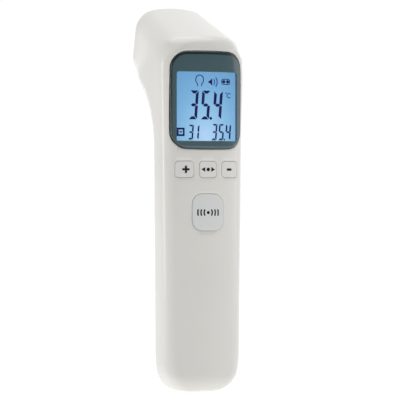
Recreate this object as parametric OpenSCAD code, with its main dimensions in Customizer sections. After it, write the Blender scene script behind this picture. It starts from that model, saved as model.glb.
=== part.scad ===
// Infrared forehead thermometer: a hand grip with a display and four keys,
// and a head that leans back to carry the sensor in its nose.
// +Z runs up the grip, the display faces -Y, the sensor looks towards +Y.
// The origin is on the flat foot, under the middle of the grip.

/* [Grip] */
// How far the front of the grip stands ahead of the origin
front_reach = 10.6; // [10.4:0.1:11.2]
// How far the back of the grip stands behind the origin, at the foot
back_reach = 10.9; // [10.6:0.1:11.2]
// Half width of the grip at the foot
foot_half_w = 16.1; // [15.9:0.1:16.5]
// Half width of the grip at the display
head_half_w = 17.7; // [17.5:0.1:18]
// Radius of the long front corners
front_corner_r = 6.5; // [6:0.1:7]
// Radius of the long rear corners
rear_corner_r = 7.5; // [7:0.1:8]
// Radius that crowns the front face across its width
front_crown_r = 47; // [45:1:50]
// Radius that crowns the rear face across its width
rear_crown_r = 40; // [38:1:44]
// Wall thickness of the casing
wall = 2; // [1.8:0.1:2.1]

/* [Head] */
// Backward slope of the top of the head, in degrees
top_slope = 23; // [22:0.5:24]
// Radius where the front face turns into the top
brow_r = 6.5; // [5:0.5:8]
// Radius where the back of the grip bends out under the head
neck_r = 25; // [23:1:27]
// Lean of the nose face, in degrees
nose_lean = 14; // [13:0.5:15]
// Height of the nose face
nose_h = 29; // [28.6:0.1:29.2]
// Half width of the nose face
nose_half_w = 15.6; // [15.2:0.1:16]

/* [Display] */
// Half width of the display bezel
bezel_half_w = 15.1; // [14.9:0.05:15.2]
// Height of the display bezel
bezel_h = 38.4; // [38:0.1:38.8]
// Half width of the clear window
window_half_w = 12.8; // [12.4:0.1:12.9]
// Height of the clear window
window_h = 26.9; // [26.4:0.1:27.2]

/* [Keys] */
// Travel of every key
key_travel = 0.4; // [0.3:0.05:0.4]
// How far the keys stand proud of the casing
key_proud = 0.35; // [0.2:0.05:0.5]
// Gap around every key
key_gap = 0.2; // [0.15:0.01:0.25]
// Sideways spacing of the small keys
key_pitch = 9.6; // [9.5:0.1:9.8]

/* [Power] */
// Radius of a cell
cell_r = 5.2; // [5.1:0.05:5.25]
// Length of a cell with its button
cell_l = 44.5; // [44:0.1:44.6]

/* [Hidden] */
$fn = 48;

// Side profile of the casing
front_y = -front_reach;
back_y = back_reach - 0.9;
neck_z = 108.1;
nose_low = [29.6, 123.8];
nose_rim_r = 1.6;
nose_corner_r = 8.5;
nose_rear_r = 9;
brow_corner_r = 11.5;
nose_out = [cos(nose_lean), sin(nose_lean)];
nose_up = [-sin(nose_lean), cos(nose_lean)];
nose_high = nose_low + nose_h * nose_up;
nose_mid = nose_low + nose_h / 2 * nose_up;
brow_turn = 90 - top_slope;
brow_len = brow_r * tan(brow_turn / 2);
brow_z = nose_high[1] - (nose_high[0] - front_y) * tan(top_slope) - brow_len;
brow_end = [front_y + brow_r * (1 - cos(brow_turn)), brow_z + brow_r * sin(brow_turn)];
under_vec = nose_low - [back_y, neck_z];
neck_turn = acos(under_vec[1] / norm(under_vec));
fan_z = neck_z - neck_r * tan(neck_turn / 2);
neck_end = [back_y + neck_r * (1 - cos(neck_turn)), fan_z + neck_r * sin(neck_turn)];

// Soft foot: how far the outline draws in at the very bottom
foot_in_w = 10.7;
foot_h = 12.3;
foot_in_front = 7;
foot_in_back = 2.5;
foot_edge_h = 6.8;

// Depth of the seam between the two shells, measured in from the rear face
seam_depth = 5;
seam_gap = 0.12;

// Layers behind the front face, as places along Y
board_front = -3.9;
board_back = -2.7;
switch_front = -5.9;
plunger_front = switch_front - key_travel - 0.2;
flange_back = plunger_front - 0.4;
lcd_front = -7.5;
lcd_back = -6;
glow_back = -4.3;

// Heights of the controls
bezel_z = 114;
window_z = 111.5;
scan_z = 70.3;
row_z = 87;
scan_size = [13.4, 14.7];
row_size = [7, 6.1];
scan_corner = 3.6;
row_corner = 1.3;
flange_side = 0.8;
lens_proud = 0.6;
lens_t = 1.5;
bezel_corner = 5;
bezel_back = -6.9;
window_corner = 0.8;
lcd_size = [26, 29.6];
lcd_gap = 0.3;

// Battery door and tray
door_z = [9.3, 61.7];
door_half_w = 11.2;
door_t = 1.6;
door_gap = 0.3;
tray_z = [10.6, 61.8];
tray_half_w = 12.4;
tray_front = -4.6;
tray_back = 4.6;
tray_t = 1.2;
cell_x = 5.55;
cell_y = 2.2;
cell_low = 12.2;
cell_high = 60.4;
spring_h = cell_high - cell_low - cell_l;

// Ring that trims the sensor opening
ring_r = 11;

// Fasteners
shell_screw_x = 10.2;
shell_screw_z = 66.4;
board_screw_x = 11;
board_screw_z = 93.1;

function mix(a, b, t) = a + (b - a) * t;
function ease(t) = t * t * (3 - 2 * t);
function unit(v) = v / norm(v);

// Half of a cross-section: a crowned face, then a corner arc, ending at the side
function crowned_half(w, h, r, crown, n_face, n_corner) =
    let(
        big = max(crown, w * 1.05),
        small = min(r, w * 0.95),
        turn = asin(min((w - small) / (big - small), 1)),
        corner_v = h - big + sqrt(max(pow(big - small, 2) - pow(w - small, 2), 0))
    )
    concat(
        [for (i = [0:n_face]) let(a = turn * i / n_face) [big * sin(a), h - big + big * cos(a)]],
        [for (i = [1:n_corner]) let(a = turn + (90 - turn) * i / n_corner)
            [w - small + small * sin(a), corner_v + small * cos(a)]]
    );

// Closed cross-section, front half then rear half, mirrored to the other side
function cross_section(w, h, front_r, rear_r, front_crown, rear_crown, n_face, n_corner) =
    let(
        front = crowned_half(w, h, front_r, front_crown, n_face, n_corner),
        rear = crowned_half(w, h, rear_r, rear_crown, n_face, n_corner),
        n = len(rear),
        right = concat(front, [for (i = [n - 1:-1:0]) [rear[i][0], -rear[i][1]]]),
        m = len(right)
    )
    concat(right, [for (i = [m - 2:-1:1]) [-right[i][0], right[i][1]]]);

// Points along the front and top, and along the back and underside
function front_path(s) =
    s <= 1 ? [front_y, mix(fan_z, brow_z, s)]
    : s <= 2 ? let(a = brow_turn * (s - 1)) [front_y + brow_r * (1 - cos(a)), brow_z + brow_r * sin(a)]
    : mix(brow_end, nose_high, s - 2);
function rear_path(s) =
    s <= 1 ? let(a = neck_turn * s) [back_y + neck_r * (1 - cos(a)), fan_z + neck_r * sin(a)]
    : mix(neck_end, nose_low, s - 1);
function grip_half_w(z) = mix(foot_half_w, head_half_w, min(z / 130, 1));
function head_corner_r(s) =
    s <= 1.5 ? mix(front_corner_r, brow_corner_r, ease(max((s - 0.6) / 0.9, 0)))
    : mix(brow_corner_r, nose_corner_r, ease((s - 1.5) / 1.5));

// Stations from foot to nose: [front point, rear point, half width, front corner, rear corner]
function foot_stations(n) = [for (i = [0:n - 1])
    let(
        a = 90 * i / n,
        z = foot_h * (1 - cos(a)),
        narrow = foot_in_w * (1 - sin(a)),
        rise = min(z / foot_edge_h, 1),
        shrink = 1 - sqrt(1 - pow(1 - rise, 2))
    )
    [[front_y + foot_in_front * shrink, z], [back_reach - foot_in_back * shrink, z],
        foot_half_w - narrow, front_corner_r - narrow * 0.3, rear_corner_r - narrow * 0.3]];
function grip_stations(n) = [for (i = [0:n])
    let(z = mix(foot_h, fan_z, i / n))
    [[front_y, z], [mix(back_reach, back_y, z / fan_z), z], grip_half_w(z), front_corner_r, rear_corner_r]];
function head_stations(from, to, n) = [for (i = [1:n])
    let(
        s = mix(from[0], to[0], i / n),
        o = front_path(s),
        w = s > 2 ? mix(head_half_w, nose_half_w, ease(s - 2)) : grip_half_w(o[1])
    )
    [o, rear_path(mix(from[1], to[1], i / n)), w, head_corner_r(s), mix(rear_corner_r, nose_rear_r, s / 3)]];
function grip_and_head(n) = concat(
    foot_stations(n),
    grip_stations(2),
    head_stations([0, 0], [1, 0.75], n),
    head_stations([1, 0.75], [2, 1.3], n),
    head_stations([2, 1.3], [3, 2], n)
);
function nose_rim(n) = [for (i = [1:n])
    let(
        a = 90 * i / n,
        inward = nose_rim_r * (1 - cos(a)),
        ahead = nose_rim_r * sin(a) * nose_out
    )
    [nose_high - inward * nose_up + ahead, nose_low + inward * nose_up + ahead,
        nose_half_w - inward, nose_corner_r - inward, nose_rear_r - inward]];

// A station drawn in by t all round, for the inside of a wall
function inset(st, t) =
    let(across = unit(st[0] - st[1]))
    [st[0] - t * across, st[1] + t * across, st[2] - t, max(st[3] - t, 1), max(st[4] - t, 1)];

function ring_points(st, t, n_face, n_corner) =
    let(
        half_d = norm(st[0] - st[1]) / 2,
        mid = (st[0] + st[1]) / 2,
        across = unit(st[0] - st[1])
    )
    [for (p = cross_section(st[2], half_d, st[3], st[4], front_crown_r - t, rear_crown_r - t, n_face, n_corner))
        [p[0], mid[0] + across[0] * p[1], mid[1] + across[1] * p[1]]];

// Skin through rings of equal length, each ring and cap split into triangles
module skin(rings) {
    n = len(rings);
    m = len(rings[0]);
    points = [for (ring = rings) each ring];
    sides = [for (i = [0:n - 2]) for (j = [0:m - 1])
        let(a = i * m + j, b = i * m + (j + 1) % m)
        each [[a, a + m, b], [b, a + m, b + m]]];
    caps = concat(
        [for (j = [1:m - 2]) [0, j, j + 1]],
        [for (j = [1:m - 2]) [(n - 1) * m, (n - 1) * m + j + 1, (n - 1) * m + j]]
    );
    polyhedron(points, concat(sides, caps));
}

module casing_outside() {
    stations = concat(grip_and_head(7), nose_rim(3));
    skin([for (st = stations) ring_points(st, 0, 4, 5)]);
}

// The hollow inside, a wall t thick; it starts above the foot and stops behind the nose face
module casing_hollow(t) {
    all = grip_and_head(5);
    above = [for (st = all) if (st[0][1] > t + 0.5 && st != all[len(all) - 1]) inset(st, t)];
    first = above[0];
    last = inset([nose_high, nose_low, nose_half_w, nose_corner_r, nose_rear_r], t);
    floor_ring = [[first[0][0], t], [first[1][0], t], first[2] - 1, first[3], first[4]];
    nose_ring = [last[0] - 0.4 * nose_out, last[1] - 0.4 * nose_out, last[2], last[3], last[4]];
    skin([for (st = concat([floor_ring], above, [nose_ring])) ring_points(st, t, 3, 4)]);
}

// Band along the back and underside, from outside the casing to a depth below its rear line
module rear_band(depth, outside) {
    stations = grip_and_head(4);
    last = stations[len(stations) - 1];
    inner = [for (st = stations) st[1] + depth * unit(st[0] - st[1])];
    outer = [for (st = stations) st[1] - outside * unit(st[0] - st[1])];
    n = len(stations);
    across = unit(last[0] - last[1]);
    profile = concat(
        [[inner[0][0], -1]],
        inner,
        [last[1] + depth * across + 4 * nose_out, last[1] - outside * across + 4 * nose_out],
        [for (i = [n - 1:-1:0]) outer[i]],
        [[outer[0][0], -1]]
    );
    rotate([90, 0, 90]) linear_extrude(2 * head_half_w + 6, center = true) polygon(profile);
}

module rounded_rect(size, r) {
    square([size[0] - 2 * r, size[1]], center = true);
    square([size[0], size[1] - 2 * r], center = true);
    for (x = [-1, 1]) for (z = [-1, 1])
        translate([x * (size[0] / 2 - r), z * (size[1] / 2 - r)]) circle(r);
}

// Thumb key outline: a rounded square whose top and bottom bow outwards
module scan_outline(grow) {
    size = scan_size + [2 * grow, 2 * grow];
    bow_r = 22 + grow;
    intersection() {
        rounded_rect(size, scan_corner + grow);
        translate([0, bow_r - size[1] / 2]) circle(bow_r, $fn = 96);
        translate([0, size[1] / 2 - bow_r]) circle(bow_r, $fn = 96);
    }
}
module row_outline(grow) {
    rounded_rect(row_size + [2 * grow, 2 * grow], row_corner + grow);
}

// Prism along Y between two places, from an outline in X and Z
module along_y(from_y, to_y) {
    translate([0, to_y, 0]) rotate([90, 0, 0]) linear_extrude(to_y - from_y) children();
}

// Cylinder whose surface follows the crowned front face, raised by rise
module front_crown(rise) {
    translate([0, front_y + front_crown_r, 0]) cylinder(h = 160, r = front_crown_r + rise, $fn = 160);
}

module bar(low, high) {
    translate(low) cube(high - low);
}

// Places children on the nose face, with +Z out along the sensor's line of sight
module on_nose() {
    translate([0, nose_mid[0], nose_mid[1]]) rotate([nose_lean - 90, 0, 0]) children();
}

module tube(r_out, r_in, z_low, z_high) {
    translate([0, 0, z_low]) difference() {
        cylinder(h = z_high - z_low, r = r_out);
        translate([0, 0, -1]) cylinder(h = z_high - z_low + 2, r = r_in);
    }
}

module nose_opening() {
    on_nose() translate([0, 0, -6]) cylinder(h = 12, r = ring_r + 0.15);
}

module key_openings() {
    translate([0, 0, scan_z]) along_y(front_y - 2, switch_front) scan_outline(key_gap);
    for (side = [-1, 0, 1])
        translate([side * key_pitch, 0, row_z]) along_y(front_y - 2, switch_front) row_outline(key_gap);
}

module front_shell() {
    boss_top = 3.2;
    color("ivory") {
        difference() {
            casing_outside();
            casing_hollow(wall);
            rear_band(seam_depth + seam_gap, 6);
            key_openings();
            // Seat for the bezel and opening for the display
            difference() {
                translate([0, 0, bezel_z]) along_y(front_y - 2, -5)
                    rounded_rect([2 * bezel_half_w + 0.3, bezel_h + 0.3], bezel_corner + 0.15);
                front_crown(lens_proud - lens_t - 0.05);
            }
            translate([0, 0, window_z]) along_y(front_y - 2, -5)
                square(lcd_size + 2 * [lcd_gap, lcd_gap], center = true);
            nose_opening();
        }
        // Bosses for the shell screws
        for (side = [-1, 1]) difference() {
            translate([side * shell_screw_x, front_y + wall + 0.6, shell_screw_z]) rotate([-90, 0, 0])
                cylinder(h = boss_top - front_y - wall - 0.6, r = 2.6);
            translate([side * shell_screw_x, -6, shell_screw_z]) rotate([-90, 0, 0]) cylinder(h = 12, r = 1.25);
        }
        // Posts for the board screws
        for (side = [-1, 1]) difference() {
            translate([side * board_screw_x, front_y + 2.7, board_screw_z]) rotate([-90, 0, 0])
                cylinder(h = board_front - front_y - 2.7, r = 1.7);
            translate([side * board_screw_x, -6.8, board_screw_z]) rotate([-90, 0, 0]) cylinder(h = 6, r = 0.85);
        }
        // Ribs that carry the battery tray
        for (z = [22, 50]) bar([-8, front_y + 1.4, z], [8, tray_front, z + 1.2]);
    }
}

module rear_shell() {
    color("ivory") difference() {
        union() {
            difference() {
                intersection() {
                    casing_outside();
                    rear_band(seam_depth - seam_gap, 6);
                }
                casing_hollow(wall);
            }
            // Bosses that the screws pull against
            for (side = [-1, 1]) translate([side * shell_screw_x, 3.4, shell_screw_z]) rotate([-90, 0, 0])
                cylinder(h = 3.6, r = 2.9);
        }
        translate([0, 0, (door_z[0] + door_z[1]) / 2]) along_y(5, 16)
            rounded_rect([2 * (door_half_w + door_gap), door_z[1] - door_z[0] + 2 * door_gap], 1.6);
        for (side = [-1, 1]) {
            translate([side * shell_screw_x, 0, shell_screw_z]) rotate([-90, 0, 0]) cylinder(h = 20, r = 1.4);
            translate([side * shell_screw_x, 5, shell_screw_z]) rotate([-90, 0, 0]) cylinder(h = 12, r = 2.5);
        }
        nose_opening();
    }
}

module battery_cover() {
    grip_z = door_z[1] - 8;
    color("ivory") {
        difference() {
            intersection() {
                casing_outside();
                rear_band(4, 6);
                translate([0, 0, (door_z[0] + door_z[1]) / 2]) along_y(5, 16)
                    rounded_rect([2 * door_half_w, door_z[1] - door_z[0]], 1.3);
            }
            casing_hollow(door_t);
            // Thumb grooves across the upper end
            for (i = [0:3]) translate([0, back_reach + 0.2, grip_z + 1.6 * i]) rotate([0, 90, 0])
                cylinder(h = 12, r = 0.7, center = true);
        }
        // Hook tabs that reach in under the lower lip
        for (side = [-1, 1]) {
            bar([side * 6 - 1.5, 6.6, 7.5], [side * 6 + 1.5, 7.7, 12]);
            bar([side * 6 - 1.5, 7.6, 10], [side * 6 + 1.5, 9.2, 12]);
        }
    }
}

module display_bezel() {
    color("darkslategray") difference() {
        intersection() {
            translate([0, 0, bezel_z]) along_y(front_y - 2, bezel_back)
                rounded_rect([2 * bezel_half_w, bezel_h], bezel_corner);
            front_crown(lens_proud);
        }
        front_crown(lens_proud - lens_t);
        translate([0, 0, window_z]) along_y(front_y - 3, -4)
            rounded_rect([2 * window_half_w, window_h], window_corner);
    }
}

module display_window() {
    color("lightcyan") difference() {
        intersection() {
            translate([0, 0, window_z]) along_y(front_y - 2, -5)
                rounded_rect([2 * window_half_w - 0.06, window_h - 0.06], window_corner);
            front_crown(lens_proud - 0.1);
        }
        front_crown(lens_proud - lens_t);
    }
}

module lcd_panel() {
    color("steelblue") translate([0, 0, window_z]) along_y(lcd_front, lcd_back) square(lcd_size, center = true);
}

module backlight_guide() {
    color("aliceblue") bar([-12.4, lcd_back + 0.05, 99.6], [12.4, glow_back, 126.4]);
}

module lcd_frame() {
    color("whitesmoke") difference() {
        bar([-13.8, -5.4, 95.6], [13.8, board_front, 128.4]);
        bar([-12.6, -6, 97.5], [12.6, -3, 126.6]);
    }
}

module contact_strip() {
    color("hotpink") bar([-11.5, lcd_back, 97.8], [11.5, board_front, 99.2]);
}

module main_board() {
    color("darkgreen") difference() {
        bar([-12.4, board_front, 63.4], [12.4, board_back, 132]);
        for (side = [-1, 1]) {
            translate([side * shell_screw_x, 0, shell_screw_z]) rotate([90, 0, 0]) cylinder(h = 8, r = 2.9);
            translate([side * board_screw_x, 0, board_screw_z]) rotate([90, 0, 0]) cylinder(h = 8, r = 1.1);
        }
    }
}

module controller_chip() {
    color("dimgray") bar([-5, board_back, 80], [5, board_back + 1.4, 90]);
}

module board_parts() {
    color("tan") {
        for (i = [0:4]) bar([-9 + 4 * i, board_back, 73], [-7.4 + 4 * i, board_back + 0.8, 73.9]);
        for (i = [0:3]) bar([8, board_back, 79 + 3 * i], [9, board_back + 0.7, 80.8 + 3 * i]);
        bar([-9.5, board_back, 83], [-7, board_back + 1, 89]);
        translate([-8, board_back, 97]) rotate([-90, 0, 0]) cylinder(h = 5, r = 2.4);
    }
}

module buzzer() {
    color("black") translate([2.5, board_back, 103]) rotate([-90, 0, 0]) difference() {
        cylinder(h = 3, r = 4.8);
        translate([0, 0, 2]) cylinder(h = 2, r = 0.9);
    }
}

module board_screws() {
    color("silver") for (side = [-1, 1]) translate([side * board_screw_x, 0, board_screw_z]) {
        translate([0, board_back, 0]) rotate([-90, 0, 0]) cylinder(h = 0.9, r = 1.5);
        translate([0, -6.4, 0]) rotate([-90, 0, 0]) cylinder(h = board_back + 6.4, r = 0.8);
    }
}

// A key: proud crowned cap, retaining flange behind the wall, and a stem to the switch
module key(x, z, flange, stem_r) {
    intersection() {
        translate([x, 0, z]) along_y(front_y - 2, flange_back) children();
        front_crown(key_proud);
    }
    intersection() {
        translate([x, 0, z]) along_y(front_y, flange_back) square(flange, center = true);
        front_crown(-wall - 0.25);
    }
    translate([x, flange_back - 0.2, z]) rotate([-90, 0, 0])
        cylinder(h = plunger_front - flange_back + 0.2, r = stem_r);
}
module scan_key() {
    color("lavender") key(0, scan_z, scan_size + [2 * flange_side, 2 * flange_side], 2) scan_outline(0);
}
module row_key(side) {
    key(side * key_pitch, row_z, row_size + [2 * flange_side, 2 * flange_side], 1.4) row_outline(0);
}
module plus_key() { color("white") row_key(-1); }
module mode_key() { color("white") row_key(0); }
module minus_key() { color("white") row_key(1); }

// Tactile switch on the board, with a round hole for its plunger
module switch_body(x, z, side, hole_r) {
    difference() {
        bar([x - side / 2, switch_front, z - side / 2], [x + side / 2, board_front, z + side / 2]);
        translate([x, switch_front - 1, z]) rotate([-90, 0, 0]) cylinder(h = 2.8, r = hole_r);
    }
}
module plunger(x, z, r) {
    translate([x, plunger_front, z]) rotate([-90, 0, 0]) cylinder(h = 1.8, r = r);
}
module scan_switch() { color("gray") switch_body(0, scan_z, 6, 1.8); }
module plus_switch() { color("gray") switch_body(-key_pitch, row_z, 4.4, 1.2); }
module mode_switch() { color("gray") switch_body(0, row_z, 4.4, 1.2); }
module minus_switch() { color("gray") switch_body(key_pitch, row_z, 4.4, 1.2); }
module scan_plunger() { color("black") plunger(0, scan_z, 1.72); }
module plus_plunger() { color("black") plunger(-key_pitch, row_z, 1.12); }
module mode_plunger() { color("black") plunger(0, row_z, 1.12); }
module minus_plunger() { color("black") plunger(key_pitch, row_z, 1.12); }

module battery_tray() {
    color("gainsboro") difference() {
        bar([-tray_half_w, tray_front, tray_z[0]], [tray_half_w, tray_back, tray_z[1]]);
        bar([-tray_half_w + tray_t, tray_front + tray_t, tray_z[0] + tray_t],
            [tray_half_w - tray_t, tray_back + 1, tray_z[1] - tray_t]);
        // Round seats that let the cells sink into the floor of the tray
        for (side = [-1, 1]) translate([side * cell_x, cell_y, cell_low - 0.6])
            cylinder(h = cell_high - cell_low + 1.2, r = cell_r + 0.25);
    }
}

// A cell with its button at the top, or at the bottom when turned over
module cell(x, z, turned) {
    body_l = cell_l - 1.2;
    translate([x, cell_y, turned ? z + cell_l : z]) mirror([0, 0, turned ? 1 : 0]) {
        cylinder(h = body_l, r = cell_r);
        cylinder(h = cell_l, r = 1.9);
    }
}
module battery_left() { color("goldenrod") cell(-cell_x, cell_low + spring_h, false); }
module battery_right() { color("goldenrod") cell(cell_x, cell_low, true); }

module bridge_contact() {
    color("silver") bar([-10, -2, cell_low - 0.4], [10, 5, cell_low]);
}
module positive_contact() {
    color("silver") bar([-9.5, -2, cell_high], [-1.6, 5, cell_high + 0.2]);
}
module negative_contact() {
    color("silver") bar([1.6, -2, cell_high], [9.5, 5, cell_high + 0.2]);
}

// Coil spring swept along a helix that tightens towards the cell
module coil_spring(height, r_base, r_tip, turns) {
    wire_r = 0.3;
    sides = 6;
    steps = 12 * turns;
    pitch = height - 2 * wire_r;
    skin([for (i = [0:steps])
        let(
            t = i / steps,
            a = 360 * turns * t,
            r = mix(r_base, r_tip, t)
        )
        [for (j = [0:sides - 1]) let(b = -360 * j / sides)
            [(r + wire_r * cos(b)) * cos(a), (r + wire_r * cos(b)) * sin(a), wire_r + pitch * t + wire_r * sin(b)]]]);
}
module lower_spring() {
    color("silver") translate([-cell_x, cell_y, cell_low]) coil_spring(spring_h, 3.6, 2.2, 4);
}
module upper_spring() {
    color("silver") translate([cell_x, cell_y, cell_high]) mirror([0, 0, 1]) coil_spring(spring_h, 3.6, 2.2, 4);
}

module nose_ring() {
    color("dimgray") on_nose() {
        tube(ring_r, ring_r - 2.1, -2, nose_rim_r + 0.4);
    }
}

module sensor_cone() {
    color("silver") on_nose() rotate_extrude()
        polygon([[8.8, 1.4], [8.1, 1.4], [3, -7.2], [3, -8], [3.9, -8], [3.9, -7.4], [8.8, 0.9]]);
}

module sensor_housing() {
    color("dimgray") on_nose() {
        tube(10.2, 9, -9.2, -2.05);
        tube(9, 5.3, -9.2, -8.1);
    }
}

module sensor_holder() {
    color("goldenrod") on_nose() {
        tube(5.25, 4.3, -13.4, -8.3);
        tube(6.4, 4.3, -13.4, -9.4);
    }
}

module thermopile_can() {
    color("silver") on_nose() difference() {
        union() {
            translate([0, 0, -12.6]) cylinder(h = 4.3, r = 4.2);
            translate([0, 0, -13.3]) cylinder(h = 0.7, r = 4.25);
        }
        translate([0, 0, -9]) cylinder(h = 2, r = 2.4);
        translate([0, 0, -11.6]) cylinder(h = 3, r = 2.9);
    }
}

module sensor_window() {
    color("slategray") on_nose() translate([0, 0, -9.1]) cylinder(h = 0.4, r = 2.85);
}

module sensor_board() {
    color("darkgreen") on_nose() {
        translate([0, 0, -14.6]) cylinder(h = 1.1, r = 8.4);
        for (a = [45:90:315]) rotate(a) translate([2.5, 0, -15.4]) cylinder(h = 2, r = 0.35);
    }
}

// Flat ribbon from the sensor board down to its socket, bent in one soft S
module sensor_ribbon() {
    thick = 0.5;
    start = nose_mid - 14.9 * nose_out - 5 * nose_up;
    finish = [-0.3, 124.4];
    knee = [start[0] - 3, start[1] - 2.5];
    path = [for (i = [0:8]) let(t = i / 8) mix(mix(start, knee, t), mix(knee, finish, t), t)];
    color("white") rotate([90, 0, 90]) linear_extrude(6, center = true)
        polygon(concat(path, [for (i = [8:-1:0]) path[i] + [0, thick]]));
}

module ribbon_socket() {
    color("ivory") difference() {
        bar([-4.2, board_back, 121.6], [4.2, board_back + 4, 126.6]);
        bar([-3.4, board_back + 2.2, 123.4], [3.4, board_back + 5, 125.8]);
    }
}

module shell_screws() {
    color("silver") for (side = [-1, 1]) translate([side * shell_screw_x, 0, shell_screw_z]) {
        translate([0, 5, 0]) rotate([-90, 0, 0]) difference() {
            cylinder(h = 1.5, r = 2.2);
            for (a = [0, 90]) rotate(a) translate([-1.3, -0.25, 0.8]) cube([2.6, 0.5, 2]);
        }
        translate([0, -5, 0]) rotate([-90, 0, 0]) cylinder(h = 10, r = 1.2);
    }
}

front_shell();
rear_shell();
battery_cover();
display_bezel();
display_window();
lcd_panel();
backlight_guide();
lcd_frame();
contact_strip();
main_board();
controller_chip();
board_parts();
buzzer();
board_screws();
scan_key();
plus_key();
mode_key();
minus_key();
scan_switch();
plus_switch();
mode_switch();
minus_switch();
scan_plunger();
plus_plunger();
mode_plunger();
minus_plunger();
battery_tray();
battery_left();
battery_right();
bridge_contact();
positive_contact();
negative_contact();
lower_spring();
upper_spring();
nose_ring();
sensor_cone();
sensor_housing();
sensor_holder();
thermopile_can();
sensor_window();
sensor_board();
sensor_ribbon();
ribbon_socket();
shell_screws();
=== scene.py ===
"""Infrared forehead thermometer: smooth casing shells, flush keys, a glossy display lens and a lit display,
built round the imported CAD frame. Shapes are made in millimetres, and fit_out scales each piece to metres."""
from math import acos, asin, atan2, cos, dist, pi, radians, sin, sqrt, tan

import bpy
from mathutils import Matrix, Vector
from mathutils.bvhtree import BVHTree


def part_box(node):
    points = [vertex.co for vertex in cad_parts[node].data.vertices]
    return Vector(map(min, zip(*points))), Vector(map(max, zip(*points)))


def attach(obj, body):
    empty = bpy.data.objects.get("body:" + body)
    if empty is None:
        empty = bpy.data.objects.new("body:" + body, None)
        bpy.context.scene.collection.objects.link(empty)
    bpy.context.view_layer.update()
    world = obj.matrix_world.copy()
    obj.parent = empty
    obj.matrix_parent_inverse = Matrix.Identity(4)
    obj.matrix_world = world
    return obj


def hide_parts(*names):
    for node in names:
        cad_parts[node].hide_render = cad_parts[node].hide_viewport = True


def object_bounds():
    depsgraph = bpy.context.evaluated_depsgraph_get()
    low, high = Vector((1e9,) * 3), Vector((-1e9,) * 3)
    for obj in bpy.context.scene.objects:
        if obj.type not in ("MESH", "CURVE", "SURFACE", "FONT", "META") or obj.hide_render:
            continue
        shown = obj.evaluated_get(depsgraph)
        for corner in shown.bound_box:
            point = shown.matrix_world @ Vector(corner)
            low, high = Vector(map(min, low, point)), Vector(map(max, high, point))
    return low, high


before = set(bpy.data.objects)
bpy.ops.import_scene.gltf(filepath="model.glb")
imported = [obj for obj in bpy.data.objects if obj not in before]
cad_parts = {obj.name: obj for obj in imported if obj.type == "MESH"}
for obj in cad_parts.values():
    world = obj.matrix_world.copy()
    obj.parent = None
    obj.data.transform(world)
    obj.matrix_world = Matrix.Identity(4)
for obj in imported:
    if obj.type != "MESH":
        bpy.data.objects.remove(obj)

MM = 0.001
cad_low, cad_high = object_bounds()
CAD_BACK_Y, CAD_TOP_Z = cad_high[1] / MM, cad_high[2] / MM


# ======== places from the CAD frame
def box_mm(node):
    low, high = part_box(node)
    return Vector(low) / MM, Vector(high) / MM


def centre_mm(node):
    low, high = box_mm(node)
    return (low + high) / 2


FRONT_Y = box_mm("front_shell")[0].y
HEAD_HALF_W = box_mm("front_shell")[1].x
BEZEL_LOW, BEZEL_HIGH = box_mm("display_bezel")
WINDOW_LOW, WINDOW_HIGH = box_mm("display_window")
LCD_LOW, LCD_HIGH = box_mm("lcd_panel")
DOOR_HIGH = box_mm("battery_cover")[1]

# ======== casing shape, as in the CAD source
FOOT_HALF_W = 16.1
BACK_REACH = 10.9
BACK_Y = BACK_REACH - 0.9
FRONT_CORNER_R, REAR_CORNER_R = 6.5, 7.5
BROW_CORNER_R, NOSE_CORNER_R, NOSE_REAR_R = 11.5, 8.5, 9.0
FRONT_CROWN_R, REAR_CROWN_R = 47.0, 40.0
TOP_SLOPE = radians(23)
BROW_R, NECK_R, NECK_Z = 6.5, 25.0, 108.1
NOSE_LEAN = radians(14)
NOSE_H, NOSE_HALF_W, NOSE_RIM_R = 29.0, 15.6, 1.6
RING_R = 11.0
WALL, DOOR_WALL = 2.0, 1.6
FOOT_IN_W, FOOT_H, FOOT_IN_FRONT, FOOT_IN_BACK, FOOT_EDGE_H = 10.7, 12.3, 7.0, 2.5, 6.8
SEAM_DEPTH, SEAM_GAP, SEAM_EDGE = 5.0, 0.05, 0.12
DOOR_GAP, DOOR_LOW_Z, DOOR_CORNER_R = 0.3, 9.3, 1.3
SCREW_X, SCREW_Z = 10.2, centre_mm("shell_screws").z
POST_X, POST_Z = 11.0, centre_mm("board_screws").z

# Side-profile points are (y, z) pairs held in 2D vectors
NOSE_OUT = Vector((cos(NOSE_LEAN), sin(NOSE_LEAN)))
NOSE_UP = Vector((-sin(NOSE_LEAN), cos(NOSE_LEAN)))
NOSE_LOW = Vector((29.6, 123.8))
NOSE_HIGH = NOSE_LOW + NOSE_H * NOSE_UP
NOSE_MID = NOSE_LOW + NOSE_H / 2 * NOSE_UP
BROW_TURN = radians(90) - TOP_SLOPE
BROW_Z = NOSE_HIGH.y - (NOSE_HIGH.x - FRONT_Y) * tan(TOP_SLOPE) - BROW_R * tan(BROW_TURN / 2)
UNDER = (NOSE_LOW - Vector((BACK_Y, NECK_Z))).normalized()
NECK_TURN = acos(UNDER.y)
FAN_Z = NECK_Z - NECK_R * tan(NECK_TURN / 2)
# How far along the rear path the head's sections are where the brow's arc starts and ends
REAR_AT_BROW, REAR_AT_TOP = 0.75, 1.3

# Meshes are a little coarser while trying things
DETAIL, N_FACE, N_CORNER, N_TAIL = ((3.6, 12, 14, 10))


QUARTER = pi / 2


def mix(a, b, t):
    return a + (b - a) * t


def quarter_turns(n):
    """Turns from 0 to a quarter turn in n equal steps."""
    return [QUARTER * i / n for i in range(n + 1)]


def full_turns(n, start=0.0):
    """n turns evenly round a circle; start is a part of one step."""
    return [4 * QUARTER * (i + start) / n for i in range(n)]


def ease(t):
    t = min(max(t, 0.0), 1.0)
    return t * t * (3 - 2 * t)


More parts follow.
